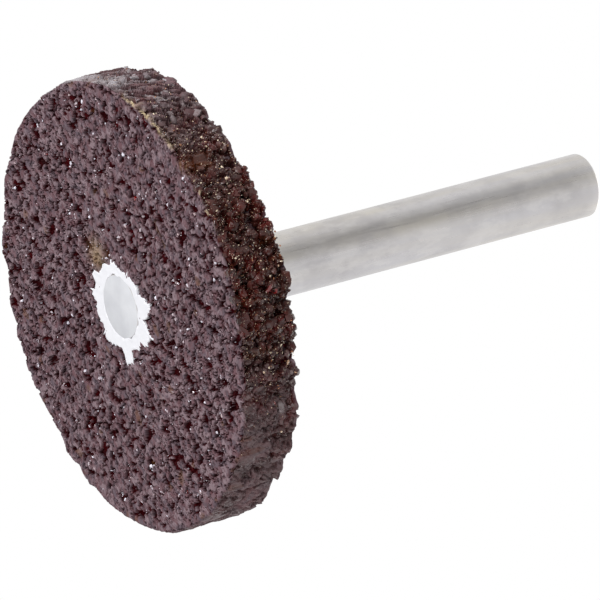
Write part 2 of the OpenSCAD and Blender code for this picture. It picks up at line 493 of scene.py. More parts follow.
def nearestGrains(flat, sites):
    # Index of the nearest site to each place, and how much farther off the second nearest is. Blocks of
    # places keep the table of distances small
    index, gap = [], []
    for block in np.array_split(flat, len(flat) // 4000 + 1):
        square = (block ** 2).sum(1)[:, None] + (sites ** 2).sum(1) - 2 * block @ sites.T
        first = square.argmin(1)
        rows = np.arange(len(block))
        nearest = np.sqrt(np.maximum(square[rows, first], 0))
        square[rows, first] = np.inf
        index.append(first)
        gap.append(np.sqrt(np.maximum(square.min(1), 0)) - nearest)
    return np.concatenate(index), np.concatenate(gap)


def crumbs(flat, pitch, seed):
    # Broken grain: a random value for the nearest point of a jittered square grid, and the gap to the next
    repeat = 64
    table = np.random.default_rng(seed).random((repeat, repeat, 3))
    cell = np.floor(flat / pitch).astype(int)
    best = np.full(len(flat), np.inf)
    second, value = best.copy(), np.zeros(len(flat))
    for i in (-1, 0, 1):
        for j in (-1, 0, 1):
            other = cell + (i, j)
            drawn = table[other[:, 0] % repeat, other[:, 1] % repeat]
            far = np.linalg.norm((other + drawn[:, :2]) * pitch - flat, axis=1)
            closer = far < best
            second = np.where(closer, best, np.minimum(second, far))
            value = np.where(closer, drawn[:, 2], value)
            best = np.where(closer, far, best)
    return value, second - best


def warped(flat, seed):
    # Pushes places about, so that the grains' outlines are uneven
    wide = np.stack([waves(flat, 1.1 * mm, seed), waves(flat, 1.1 * mm, seed + 1)], -1)
    fine = np.stack([waves(flat, 0.4 * mm, seed + 2), waves(flat, 0.4 * mm, seed + 3)], -1)
    return flat + 0.2 * mm * wide + 0.05 * mm * fine


def gapDepth(gap, limits):
    # Depth of a gap: full up to one distance from the joint's middle, and none from another on
    depth, start, end = limits
    return depth * (1 - rise(gap, start, end))


faceBreaks = {
    "pitch": 0.52 * mm,  # of the grains, and of the splinters that they break into
    "finePitch": 0.26 * mm,
    "loss": (0.09, 0.5),  # share lost where the CAD grain is whole, and more where it is gone
    "gone": 0.5 * mm,  # depth at which a CAD grain is gone
    "pitDepth": (0.2 * mm, 0.54 * mm),
    "pitWall": (-0.02 * mm, 0.04 * mm),
    "joint": (0.02 * mm, 0.18 * mm),  # least and most width of the gaps between grains
    "jointSize": 1.3 * mm,  # size of the patches that have wide gaps
    "gapDepth": 0.34 * mm,
    "chipped": 0.1,  # share of the splinters that are chipped off beside a joint
    "chipDepth": (0.2 * mm, 0.1 * mm, 0.3 * mm),  # and the distances from it between which that runs out
    "step": 0.05 * mm,  # most that a whole grain lies below the dressed plane
    "fineStep": 0.006 * mm,
    "swell": (0.012 * mm, 0.8 * mm),  # height and length of the waves over the dressed plane
    "least": 0.012 * mm,
    # the outer edge was pressed firm over some angles, counted from firmFrom before the +X side
    "firmFrom": 60,
    "firmAngles": (5, 120),
    "firmFade": 12,
    "firmReach": (2.2 * mm, 0.4 * mm),
    "firmLoss": 0.8,  # by how much fewer grains are lost there, and by how much gaps close
    "firmGaps": 0.7,
}


def faceField(places, sites, seed):
    # Depth below a dressed face and a tone for each grain. Whole grains are flush but for a small step and
    # slope, lost ones leave sharp pits, more of them where the CAD grain is sunk, and gaps open along the
    # joints. A random value times an uneven number, less its whole part, serves as another random value
    values = faceBreaks
    flat = places[:, :2]
    bent = warped(flat, seed)
    level = sites[nearestGrains(bent, sites[:, :2])[0], 2]
    value, seam = crumbs(bent, values["pitch"], seed + 4)
    part = crumbs(bent, values["finePitch"], seed + 5)[0]
    r, angle = polar(places)
    firm = window((angle + values["firmFrom"]) % 360, values["firmAngles"], values["firmFade"])
    firm = firm * rise(r, *(wheelR - reach for reach in values["firmReach"]))
    whole, gone = values["loss"]
    chance = (whole + gone * rise(level, 0.0, values["gone"])) * (1 - values["firmLoss"] * firm)
    low, high = values["pitDepth"]
    pit = np.where(value < chance, low + (high - low) * part, 0) * rise(seam, *values["pitWall"])
    narrow, broad = values["joint"]
    wide = narrow + (broad - narrow) * rise(waves(flat, values["jointSize"], seed + 6), -0.5, 1.1)
    wide = wide * (1 - values["firmGaps"] * firm)
    joint = values["gapDepth"] * (1 - rise(seam, 0.5 * wide, wide + 0.01 * mm)) * (wide > narrow)
    chipped = np.where(part < values["chipped"], gapDepth(seam, values["chipDepth"]), 0)
    height, length = values["swell"]
    top = values["step"] * (value * 9.7 % 1) + values["fineStep"] * part
    top = top + height * waves(flat, length, seed + 7)
    depth = top + np.maximum(np.maximum(pit, joint), chipped)
    return np.maximum(depth, values["least"]), (value * 5.3 + part * 0.25) % 1


rimPressed = {
    # share by which the rim is pressed smooth, and the heights between which that fades out
    "strip": (0.75, 0.35 * mm, 0.9 * mm),  # beside the front face, but not between these angles
    "stripGap": (190, 325),
    "cap": (0.9, 0.8 * mm, 2.2 * mm),  # between these angles
    "capAngles": (172, 204),
    "runs": (0.9, 2.2 * mm, 3.6 * mm),  # under the resin's runs
    "waver": (0.1, 3 * mm),  # height and length of the waves over all of it
}


def rimSmooth(places):
    # Share by which the rim is pressed smooth: by the angle, beside the front face and under the runs
    values = rimPressed
    angle, z = polar(places)[1], places[..., 2]
    turned = np.interp(angle, wheelShape["angle"], wheelShape["smooth"])
    strip = gapDepth(z, values["strip"]) * (1 - window(angle, values["stripGap"], 10))
    cap = gapDepth(z, values["cap"]) * window(angle, values["capAngles"], 8)
    runs = gapDepth(z, values["runs"]) * window(angle, wheelStains["runs"], 1.2)
    height, length = values["waver"]
    most = np.maximum(np.maximum(turned, np.maximum(strip, cap)), runs)
    return np.clip(most + height * waves(places, length, 44), 0, 1)


rimBreaks = {
    "tilt": 0.28,  # spread of the coarse grains' slopes
    "sunk": 0.8,  # share of a CAD grain's depth that is kept
    "least": 0.02 * mm,
    "pitch": 0.5 * mm,  # of the broken grain, and the most that it steps up or down
    "step": 0.45 * mm,
    # gaps: depth, and the distances from the joint's middle between which it runs out
    "joint": (0.2 * mm, 0.03 * mm, 0.16 * mm),
    "fineJoint": (0.1 * mm, 0.0, 0.12 * mm),
    "plateGap": (0.6 * mm, 0.02 * mm, 0.12 * mm),
    "plateRound": (0.15 * mm, 0.0, 0.5 * mm),
    "crack": (0.6 * mm, 0.04 * mm, 0.18 * mm),
    "platePitch": 0.6 * mm,
    "plateStep": 0.5 * mm,
    "plateSlant": 0.7,  # way round that a plate leans for each step up
    "plateLong": 0.36,  # share of the height that a plate's outline takes in
    "rippleLong": 0.28,
    "chunkPitch": 2.6 * mm,  # of the smooth skin's pieces, and how far they step
    "chunkStep": 0.15 * mm,
    "lost": 0.2,  # share of places that have a pock, or a hole
    "pockPitch": 0.7 * mm,
    "pockDepth": 0.35 * mm,
    "holePitch": 0.95 * mm,
    "holeDepth": 0.6 * mm,
    "proud": 0.3 * mm,  # most that a grain stands out
}


def rimField(places):
    # Depth below the rim and a tone for each grain: tilted grains with joints and holes, long plates across
    # the rim where it is platy, and a skin with ripples, pocks and cracks where it was pressed smooth
    values = rimBreaks
    lap = unrolled(places)
    angle = polar(places)[1]
    long = np.stack([lap[:, 0], values["rippleLong"] * lap[:, 1]], -1)
    slab = np.stack([lap[:, 0] - values["plateSlant"] * lap[:, 1], values["plateLong"] * lap[:, 1]], -1)
    bent = warped(lap, 81)
    index, gap = nearestGrains(bent, lapSites[:, :2])
    slope = np.random.default_rng(82).normal(0, values["tilt"], (len(lapSites), 2))
    tilt = (slope[index] * (bent - lapSites[index, :2])).sum(1)
    value, seam = crumbs(bent, values["pitch"], 83)
    joints = gapDepth(gap, values["joint"]) + gapDepth(seam, values["fineJoint"])
    grains = values["least"] + values["sunk"] * lapSites[index, 2] + tilt
    grains = grains + values["step"] * (value - 0.5) + joints
    layer, split = crumbs(warped(slab, 85), values["platePitch"], 86)
    plates = values["plateStep"] * layer ** 2 + gapDepth(split, values["plateGap"])
    plates = plates + gapDepth(split, values["plateRound"]) + 0.03 * mm * waves(lap, 0.5 * mm, 95)
    chunk, crack = crumbs(warped(lap, 89), values["chunkPitch"], 90)
    cracks = gapDepth(crack, values["crack"]) * rise(waves(lap, 3 * mm, 91), -0.3, 0.3)
    ripples = 0.02 * mm * waves(long, 0.5 * mm, 87) + 0.03 * mm * waves(places, 1.4 * mm, 88) + 0.03 * mm
    smooth = rimSmooth(places)
    pock, brink = crumbs(bent, values["pockPitch"], 94)
    pocks = values["pockDepth"] * np.where(pock < values["lost"], rise(brink, 0.0, 0.06 * mm), 0)
    broken = values["chunkStep"] * chunk + cracks
    skin = ripples + pocks + broken * (1 - 0.6 * rise(smooth, 0.8, 0.95))
    platy = np.interp(angle, wheelShape["angle"], wheelShape["plates"])
    depth = grains + platy * (plates - grains)
    depth = depth + smooth * (skin - depth)
    hole, brim = crumbs(warped(lap, 96), values["holePitch"], 97)
    holes = np.where(hole < values["lost"], rise(brim, 0.0, 0.15 * mm), 0)
    holes = holes * (1 - rise(smooth + platy, 0.5, 0.9))
    depth = depth + values["holeDepth"] * holes
    swell = 0.05 * mm * waves(places, 7 * mm, 41)
    # Painted shade: the tone is lower in holes and deep down, even where the rim is smooth.
    # Painted highlight: the tone is pale on the pressed cap
    tone = np.where(platy > 0.8, layer, 0.6 * ((index * 0.618 + value * 0.3) % 1))
    tone = np.where(holes > 0.5, 0, tone) * (1 - 0.85 * rise(depth, 0.3 * mm, 0.75 * mm))
    tone = tone + 0.75 * rise(smooth, 0.3, 0.7) * (0.3 - tone)
    cap = 0.9 * window(angle, (170, 204), 8) * (1 - rise(lap[:, 1], 1 * mm, 3.2 * mm))
    return np.maximum(depth, -values["proud"]) + swell, np.minimum(tone + cap, 1)


def rimGrey(places):
    # Share of dust on the rim, by the angle, with some unevenness
    grey = np.interp(polar(places)[1], wheelShape["angle"], wheelShape["grey"])
    return grey * (0.85 + 0.25 * waves(places, 3 * mm, 48))


wheelStains = {
    "patch": (-5.2 * mm, 2.0 * mm, 1.3 * mm),  # tan patch beside the cement: place and reach
    "line": (211, 233),  # angles of the cream line along the front edge
    "lineHeight": (0.15 * mm, 0.22 * mm),  # its height and spread
    "specks": (230, 262),  # angles of the cream specks beyond it
    "runs": (237.5, 242),  # angles of the brown resin runs on the rim
    "runsTo": (2.2 * mm, 3.8 * mm),  # heights between which they run out
}


def stainMasks(places):
    # Cream and brown shares at each place, from the stains' own places and a few peaks of a wave field
    values = wheelStains
    r, angle = polar(places)
    z = places[..., 2]
    x0, y0, reach = values["patch"]
    far = (places[..., 0] - x0) ** 2 + (places[..., 1] - y0) ** 2
    patch = np.exp(-far / reach ** 2) * (z < 1.2 * mm)
    high, spread = values["lineHeight"]
    edge = np.exp(-((z - high) / spread) ** 2) * rise(r, wheelR - 0.5 * mm, wheelR - 0.3 * mm)
    line = window(angle, values["line"]) * (0.2 + 0.8 * rise(waves(places, 1.0 * mm, 52), -0.4, 0.6))
    specks = 0.6 * window(angle, values["specks"]) * rise(waves(places, 0.8 * mm, 53), 0.9, 1.2)
    onRim = rise(r, wheelR - 1.0 * mm, wheelR - 0.5 * mm)
    across = places * (1.0, 1.0, 0.25)
    runs = window(angle, values["runs"], 1.5) * (1 - rise(z, *values["runsTo"]))
    smear = onRim * runs * (0.35 + 0.65 * rise(waves(across, 0.6 * mm, 54), -0.2, 0.7))
    smear = smear + 0.5 * onRim * rise(waves(across, 1.3 * mm, 55), 1.1, 1.5)
    smear = smear + 0.6 * (1 - onRim) * rise(waves(places, 2.2 * mm, 56), 1.5, 1.8) + 0.7 * patch
    cream = edge * (line + specks) + 0.3 * patch
    return {"cream": np.clip(cream, 0, 1), "smear": np.clip(smear, 0, 1)}


# Shells of the wheel: two for the front face with its edge, one for the rim and one for the back

wheelShells = {
    "bore": spindleR + 0.3 * mm,
    "step": 0.105 * mm,  # spacing of the rings along the section that shows in front and on the rim
    "backStep": 0.13 * mm,
    "turns": 1248,  # points in the outer rings, halved within each of these radii
    "halved": (13.0 * mm, 6.5 * mm),
    "backHalved": (20.0 * mm, 10.0 * mm, 5.0 * mm),
    "thick": 1.3 * mm,  # thickness of the front shells
    "lap": 0.3 * mm,  # by which the other shells reach into them
    "seam": 15.3 * mm,  # radius at which the two front shells meet
    "backSeam": wheelR - 0.7 * mm,
    "inside": 1.5 * mm,  # depth of the rim shell's inner wall
    "faceDust": (0.08 * mm, 0.14 * mm),  # depths between which the dust on a face runs out, and on the rim, where its thinning also paints shade in the gaps
    "rimDustAndShade": (0.25 * mm, 0.6 * mm),
    "uvWidth": 0.998,
    "smooth": 20,  # edges below this angle in degrees are shaded smooth
}


def ringFaces(startA, countA, startB, countB):
    # Triangles between two rings that have as many points, or one twice as many as the other
    a, b = np.arange(countA), np.arange(countB)
    nextA, nextB = startA + (a + 1) % countA, startB + (b + 1) % countB
    if countA == countB:
        corners = [(startA + a, startB + b, nextA), (nextA, startB + b, nextB)]
    elif countA > countB:
        return ringFaces(startB, countB, startA, countA)[:, ::-1]
    else:
        even, odd, after = startB + 2 * a, startB + 2 * a + 1, startB + (2 * a + 2) % countB
        corners = [(startA + a, even, odd), (startA + a, odd, nextA), (nextA, odd, after)]
    return np.concatenate([np.stack(c, -1) for c in corners])


def makeShell(name, values, section, halved, sites, seed):
    # A closed section carried round the axis, each point then moved in by the depth of the side it is on
    edge = wheelShape["edge"]
    counts = np.full(len(section), values["turns"])
    for limit in halved:
        counts[section[:, 0] < limit] //= 2
    ring = np.repeat(np.arange(len(section)), counts)
    starts = np.concatenate([[0], np.cumsum(counts)])
    turn = 2 * np.pi * (np.arange(len(ring)) - starts[ring]) / counts[ring]

    def carry(flat):
        r, z = flat[ring, 0], flat[ring, 1]
        return np.stack([r * np.cos(turn), r * np.sin(turn), z], -1)

    core = np.clip(section, (0, edge), (wheelR - edge, wheelT - edge))
    away = (section - core) / edge
    places = carry(section)
    sideways, ahead = away[ring, 0] ** 2, away[ring, 1] ** 2
    faceDepth, faceTone = faceField(places, sites, seed)
    rimDepth, rimTone = rimField(places)
    depth = sideways * rimDepth + ahead * faceDepth
    points = carry(core) + carry(away) * (edge - depth)[:, None]
    points[:, :2] *= (1 + edgeReach(places) * (sideways + ahead > 0) / polar(places)[0])[:, None]
    dressed = ahead * (1 - rise(faceDepth, *values["faceDust"])) * (0.8 + 0.2 * faceTone)
    # Dust on the rim thins with depth, which is partly real dust and partly painted shade in its gaps
    powderedAndShaded = sideways * rimGrey(places) * (1 - 0.9 * rise(rimDepth, *values["rimDustAndShade"]))
    masks = {
        "tone": np.where(sideways > 0.5, rimTone, faceTone),
        "dust": np.clip(dressed + powderedAndShaded, 0, 1),
        "paintedGlintChip": np.zeros(len(points)),
        **stainMasks(places),
    }
    pairs = enumerate(np.roll(np.arange(len(section)), -1))
    faces = np.concatenate([ringFaces(starts[i], counts[i], starts[j], counts[j]) for i, j in pairs])
    along = np.concatenate([[0], np.cumsum(np.linalg.norm(np.diff(section, axis=0), axis=1))])
    uv = np.stack([turn / (2 * np.pi), (along / along[-1])[ring]], -1)
    shell = addPiece(name, points, faces[:, ::-1], faceGrain, masks, uv, values["uvWidth"],
                     values["smooth"])
    shell.data.materials.append(rimGrain)
    shell.data.polygons.foreach_set("material_index", (sideways[faces].mean(1) > 0.5).astype(np.int32))
    return shell


def makeWheel(values):
    # Sections run over the outside, and back inside, where nothing shows and a few rings do
    edge, bore, step = wheelShape["edge"], values["bore"], values["step"]
    seam, backSeam, floor = values["seam"], values["backSeam"], values["thick"]
    start = floor - values["lap"]
    arc = np.radians(np.arange(0, 91, 15))
    bend = np.stack([wheelR - edge + edge * np.sin(arc), edge - edge * np.cos(arc)], -1)
    backBend = bend[::-1] * (1, -1) + (0, wheelT)
    steps = np.array([bore, 0.3 * wheelR, 0.6 * wheelR])
    inside = wheelR - values["inside"]
    sections = {
        "wheel_front": (alongLine([(seam, 0), *bend, (wheelR, floor)], step),
                        [(inside, floor), (seam, floor)]),
        "wheel_middle": (alongLine([(bore, 0), (seam, 0)], step),
                         [(r, floor) for r in (seam, *steps[::-1])]),
        "wheel_rim": (alongLine([(wheelR, start), *backBend, (backSeam, wheelT)], step),
                      [(inside, wheelT - values["inside"]), (inside, start)]),
        "wheel_back": (alongLine([(backSeam, wheelT), (bore, wheelT)], values["backStep"]),
                       [(r, start) for r in (*steps, backSeam)]),
    }
    for name, (shown, hidden) in sections.items():
        isFront = name in ("wheel_front", "wheel_middle")
        sites, seed = (frontSites, 61) if isFront else (backSites, 71)
        halved = values["backHalved" if name == "wheel_back" else "halved"]
        shell = makeShell(name, values, np.concatenate([shown, hidden]), halved, sites, seed)
        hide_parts("abrasive_wheel")


makeWheel(wheelShells)


# Loose grains, and crystal chips painted bright as glints

grainShape = {
    "pushIn": 0.7,  # least and most reach of a corner, as a share of the grain's radius
    "pushOut": 1.15,
    "thin": 0.6,  # least and most stretch along the grain's own axes
    "long": 1.5,
}


def unitGrain():
    ball = bmesh.new()
    bmesh.ops.create_icosphere(ball, subdivisions=1, radius=1.0)
    corners = np.array([v.co for v in ball.verts])
    faces = np.array([[v.index for v in f.verts] for f in ball.faces])
    ball.free()
    return corners, faces


grainCorners, grainFaces = unitGrain()


def randomTurns(rng, count):
    # Rotation matrices from random unit quaternions
    drawn = rng.normal(size=(4, count))
    w, x, y, z = drawn / np.linalg.norm(drawn, axis=0)
    rows = [[1 - 2 * (y * y + z * z), 2 * (x * y - w * z), 2 * (x * z + w * y)],
            [2 * (x * y + w * z), 1 - 2 * (x * x + z * z), 2 * (y * z - w * x)],
            [2 * (x * z - w * y), 2 * (y * z + w * x), 1 - 2 * (x * x + y * y)]]
    return np.moveaxis(np.array(rows), 2, 0)


def grainPoints(rng, centres, radii, slim=1.0):
    # Each grain is an icosahedron with its corners pushed in or out, stretched along its axes and turned. Its
    # stretches are raised to the square of slim, so that above 1 it is more of a splinter
    count = len(centres)
    reach = rng.uniform(grainShape["pushIn"], grainShape["pushOut"], (count, len(grainCorners), 1))
    stretch = rng.uniform(grainShape["thin"], grainShape["long"], (count, 1, 3))
    stretch **= np.broadcast_to(slim, count)[:, None, None] ** 2
    shape = grainCorners * reach * stretch
    turned = np.einsum("gij,gkj->gki", randomTurns(rng, count), shape)
    return turned * radii[:, None, None] + centres[:, None, :]


def allFaces(count):
    return (grainFaces[None] + len(grainCorners) * np.arange(count)[:, None, None]).reshape(-1, 3)


def skewed(rng, limits, count):
    # Mostly small, a few large
    return limits[0] + (limits[1] - limits[0]) * rng.random(count) ** 3


def cementOutline():
    # Outer edge of the cement on the front face: its corners on Z = 0, in order round the axis
    points = nodePoints("bond_cement")
    rim = points[(np.abs(points[:, 2]) < 1e-6) & (np.hypot(points[:, 0], points[:, 1]) > spindleR * 1.05), :2]
    return rim[np.argsort(np.arctan2(rim[:, 1], rim[:, 0]))]


outline = cementOutline()


def insideCement(places):
    # Share of the cement's reach at each place's own angle: under 1 lies inside the outline
    angles = np.arctan2(outline[:, 1], outline[:, 0])
    reach = np.interp(np.arctan2(places[:, 1], places[:, 0]), angles, np.hypot(*outline.T), period=2 * np.pi)
    return np.hypot(places[:, 0], places[:, 1]) / reach


def scattered(rng, count, margin):
    # Places all over a face, up to a margin from its outer edge
    spread = np.sqrt(rng.random(count)) * (wheelR - margin)
    way = rng.uniform(0, 2 * np.pi, count)
    return np.column_stack([spread * np.cos(way), spread * np.sin(way), 0 * way])


def clearOfBore(places, share, side):
    # On the front, whether a place lies beyond that share of the cement's reach. side is 0 for the front and
    # 1 for the back, here and below
    return polar(places)[0] > spindleR + 0.5 * mm if side else insideCement(places) > share


def addFaceGrains(name, points, masks, side):
    # Grains whose Z is their depth below the face
    faces = allFaces(len(points) // len(grainCorners))
    uv = points[:, :2] / (2.1 * wheelR) + 0.5
    if side:
        points[:, 2] = wheelT - points[:, 2]
        faces = faces[:, ::-1]
    addPiece(name, points, faces, faceGrain, masks, uv)


faceCrumbs = {
    "seed": 21,
    "count": 1500,
    "margin": 0.7 * mm,
    "clear": 1.05,  # share of the cement's reach within which there are none
    "radius": (0.08 * mm, 0.22 * mm),
    "proud": 0.5,  # share of a crumb's radius that it stands out of the bond under it
    "plane": (0.015 * mm, 0.05 * mm),  # depth of the flat that it is cut to, and how much more it may be
    "worn": (0.12 * mm, 0.24 * mm),  # depths between which the dust on it runs out
}


def makeFaceCrumbs(name, values, sites, seed, side):
    # Broken grain all over a face, cut to the dressed plane
    rng = np.random.default_rng(values["seed"])
    centres = scattered(rng, values["count"], values["margin"])
    centres = centres[clearOfBore(centres, values["clear"], side)]
    count = len(centres)
    radii = skewed(rng, values["radius"], count)
    bond = faceField(centres, sites, seed)[0]
    centres[:, 2] = bond + (1 - 2 * values["proud"] * rng.random(count)) * radii
    points = grainPoints(rng, centres, radii)
    least, more = values["plane"]
    points[..., 2] = np.maximum(points[..., 2], least + more * rng.random((count, 1)))
    worn = rng.uniform(0.7, 1.0, (count, 1)) * (1 - rise(points[..., 2], *values["worn"]))
    points = points.reshape(-1, 3)
    tone = np.repeat(rng.random(count), len(grainCorners))
    masks = {"tone": tone, "paintedGlintChip": 0 * tone, "dust": worn.ravel(), **stainMasks(points)}
    addFaceGrains(name, points, masks, side)


makeFaceCrumbs("front_grit", faceCrumbs, frontSites, 61, 0)
makeFaceCrumbs("back_grit", dict(faceCrumbs, seed=22), backSites, 71, 1)

faceChips = {
    "seed": 11,
    "tries": 12000,  # places drawn, of which those beside a pit and in a cluster are kept
    "margin": 0.6 * mm,
    "clear": 1.04,
    "depth": (0.05 * mm, 0.4 * mm),
    "clusters": (2.6 * mm, 0.9 * mm),  # lengths of the two waves that make the clusters, and their level
    "clusterFrom": 0.55,
    "radius": (0.045 * mm, 0.19 * mm),
    "least": 0.01 * mm,
}


def makeFaceChips(name, values, sites, seed, side):
    # Crystal chips on the walls of the pits, in loose clusters, with a painted glint colour
    rng = np.random.default_rng(values["seed"])
    centres = scattered(rng, values["tries"], values["margin"])
    centres[:, 2] = faceField(centres, sites, seed)[0]
    shallow, deep = values["depth"]
    wide, fine = (waves(centres[:, :2], size, seed + 9 + i) for i, size in enumerate(values["clusters"]))
    beside = (centres[:, 2] > shallow) & (centres[:, 2] < deep) & (wide + 0.5 * fine > values["clusterFrom"])
    centres = centres[beside & clearOfBore(centres, values["clear"], side)]
    radii = skewed(rng, values["radius"], len(centres))
    centres[:, 2] = np.maximum(centres[:, 2] - 0.4 * radii, 0.9 * radii)
    points = grainPoints(rng, centres, radii).reshape(-1, 3)
    points[:, 2] = np.maximum(points[:, 2], values["least"])
    tone = np.repeat(rng.random(len(centres)), len(grainCorners))
    none = 0 * tone
    masks = {"tone": tone, "paintedGlintChip": none + 1, "dust": none, "cream": none, "smear": none}
    addFaceGrains(name, points, masks, side)


makeFaceChips("front_crystal_glints", faceChips, frontSites, 61, 0)
makeFaceChips("back_crystal_glints", dict(faceChips, seed=12, tries=7000), backSites, 71, 1)


rimGrit = {
    "seed": 31,
    "grains": 6000,
    "radius": (0.14 * mm, 0.6 * mm),
    "seat": 0.5,  # share of a grain's radius that its middle lies below the rim, and a chip's
    "chipSeat": 0.05,
    "chips": 8000,
    "chipRadius": (0.02 * mm, 0.085 * mm),
    "chipSlim": 1.5,
    # large crystals: angle in degrees, height and radius in mm, and tone, which is red near 1
    "gems": ((275.2, 3.6, 0.36, 0.99), (276, 3.9, 0.24, 0.99), (294.4, 4.7, 0.15, 0.6), (222, 2.6, 0.2, 0.99),
             (304, 3.2, 0.12, 0.99)),
    "gemSeat": 0.3,
    "stand": 0.2 * mm,  # most that a grain may stand out of the rim
    "sunk": (0.3 * mm, 0.9 * mm),  # depths between which a grain's sides darken, as painted shade
    "smooth": 50,
}


def makeRimGrit(name, values):
    # Grains and crystal chips stuck in the rim, fewer where it is smooth; the chips take painted glint
    # colours. Each lies on the rim's own surface
    rng = np.random.default_rng(values["seed"])
    count = values["grains"] + values["chips"]
    isChip = np.repeat([0.0, 1.0], [values["grains"], values["chips"]])
    angle = rng.uniform(0, 2 * np.pi, count)
    z = rng.uniform(0.3 * mm, wheelT - 0.1 * mm, count)
    gems = np.array(values["gems"])
    last = slice(-len(gems), None)
    angle[last], z[last] = np.radians(gems[:, 0]), gems[:, 1] * mm
    centres = np.stack([wheelR * np.cos(angle), wheelR * np.sin(angle), z], -1)
    smooth = rimSmooth(centres)
    platy = np.interp(np.degrees(angle), wheelShape["angle"], wheelShape["plates"])
    keep = rng.random(count) > np.maximum(rise(smooth, 0.0, 0.75), 0.85 * platy)
    keep[last] = True
    centres, angle, isChip = centres[keep], angle[keep], isChip[keep]
    rough = 1 - np.maximum(smooth, platy)[keep]
    small = skewed(rng, values["chipRadius"], len(angle))
    radii = np.where(isChip > 0, small, skewed(rng, values["radius"], len(angle)))
    radii[last] = gems[:, 2] * mm
    tones = rng.random(len(angle))
    tones[last] = gems[:, 3]
    reach = edgeReach(centres)
    seats = np.where(isChip > 0, values["chipSeat"], values["seat"])
    inward = rimField(centres)[0] - reach + seats * radii
    inward[last] = values["gemSeat"] * radii[last] - reach[last]
    centres[:, :2] *= (1 - inward / wheelR)[:, None]
    points = grainPoints(rng, centres, radii, np.where(isChip > 0, values["chipSlim"], 1.0))
    out = np.hypot(points[..., 0], points[..., 1])
    near = rise(points[..., 2], 0.2 * mm, 1.2 * mm) * rise(rough, 0.2, 0.8)[:, None]
    limit = wheelR - 0.05 * mm + reach[:, None] + near * values["stand"]
    points[..., :2] *= (np.minimum(out, limit) / out)[..., None]
    points[..., 2] = np.clip(points[..., 2], 0.03 * mm, wheelT + 0.25 * mm)
    points = points.reshape(-1, 3)
    # The chip mask gives each chip a painted glint colour in the material
    perGrain = (tones, isChip, angle / (2 * np.pi))
    tones, paintedGlintChip, turn = (np.repeat(shares, len(grainCorners)) for shares in perGrain)
    plain = 1 - paintedGlintChip
    # Painted shade: each grain is darker and less dusty the deeper its corners go down into the rim's
    # crevices
    sunk = rise(wheelR + reach[:, None] - out, *values["sunk"]).ravel()
    masks = {
        "tone": tones * (1 - 0.85 * sunk * plain),
        "dust": np.clip(rimGrey(points), 0, 1) * plain * (1 - 0.6 * sunk),
        "paintedGlintChip": paintedGlintChip,
        **{key: mask * plain for key, mask in stainMasks(points).items()},
    }
    uv = np.stack([turn, points[:, 2] / wheelT], -1)
    faces = allFaces(len(angle))
    addPiece(name, points, faces, rimGrain, masks, uv, smoothAngle=values["smooth"])


makeRimGrit("rim_grit", rimGrit)


# Cement

cementPatch = {
    "inner": spindleR - 0.07 * mm,  # creeps over the spindle's chamfer
    "wobble": 0.1 * mm,
    "deep": 0.55 * mm,
    "edge": 0.06 * mm,  # roll of the outer edge
    "unevenness": 0.012 * mm,
    "around": 720,
    "smooth": 40,
    # reach of the outer edge as shares of the solid's: all round, in waves and in short spikes
    "grown": 1.02,
    "ragged": 0.015,
    "spiked": 0.035,
    # the rows: share of the way out, share of the edge's roll, and share of the full depth
    "rows": ((0, 1, 0), (0.05, 0, 0), (0.15, 0, 0), (0.35, 0, 0), (0.55, 0, 0), (0.75, 0, 0), (0.9, 0, 0),
             (0.97, 0.3, 0), (1, 1, 0), (1, 1, 1), (0.9, 1, 1), (0, 1, 1)),
}


def makeCement(name, values, material):
    # Rows run from the inner edge out to the outline, over its rolled edge, down, and back under
    loop = np.vstack([outline, outline[:1]])
    legs = np.concatenate([[0], np.cumsum(np.linalg.norm(np.diff(loop, axis=0), axis=1))])
    at = np.linspace(0, legs[-1], values["around"], endpoint=False)
    outer = np.stack([np.interp(at, legs, loop[:, i]) for i in range(2)], -1)
    spikes = np.maximum(waves(outer, 0.45 * mm, 74), 0) ** 2 - 0.4
    ragged = values["ragged"] * waves(outer, 0.8 * mm, 71) + values["spiked"] * spikes
    outer *= values["grown"] + ragged[:, None]
    way = outer / np.linalg.norm(outer, axis=1, keepdims=True)
    inner = way * (values["inner"] + values["wobble"] * waves(way * spindleR, 1.5 * mm, 72))[:, None]
    shares, rolls, depths = np.array(values["rows"], float).T[..., None]
    flat = inner + shares[..., None] * (outer - inner)
    bumps = values["unevenness"] * waves(flat, 0.9 * mm, 73) * (rolls == 0)
    z = rolls * values["edge"] + depths * values["deep"] + bumps
    points = np.concatenate([flat, z[..., None]], -1)
    faces = gridFaces(len(shares), values["around"], closeRows=True)[:, ::-1]
    patch = addPiece(name, points.reshape(-1, 3), faces, material, smoothAngle=values["smooth"])
    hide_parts("bond_cement")


makeCement("cement_patch", cementPatch, cementWhite)


# Spindle

spindleBar = {
    "frontChamfer": 0.1 * mm,
    "endChamfer": 0.3 * mm,
    "turns": 160,
    "rings": 24,
    "smooth": 35,
}


def makeSpindle(name, values, material):
    # Half section from the front end's centre to the free end's centre, carried round the axis
    front, end = values["frontChamfer"], values["endChamfer"]
    arc = np.radians([0, 22.5, 45, 67.5, 90])
    rounded = np.stack([spindleR - end + end * np.cos(arc), spindleL - end + end * np.sin(arc)], -1)
    ends = [(1e-6, 0), (spindleR * 0.5, 0), (spindleR - front, 0), (spindleR - 0.3 * front, 0.3 * front),
            (spindleR, front)]
    shank = [(spindleR, z) for z in np.linspace(wheelT, spindleL - end, values["rings"])[:-1]]
    section = np.array([*ends, *shank, *rounded, (spindleR * 0.5, spindleL), (1e-6, spindleL)])
    points = revolve(section, values["turns"])
    haze = np.repeat(section[:, 1] < 0.1 * front, values["turns"])
    faces = gridFaces(len(section), values["turns"])
    bar = addPiece(name, points.reshape(-1, 3), faces, material, {"haze": haze},
                   smoothAngle=values["smooth"])
    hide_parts("spindle")


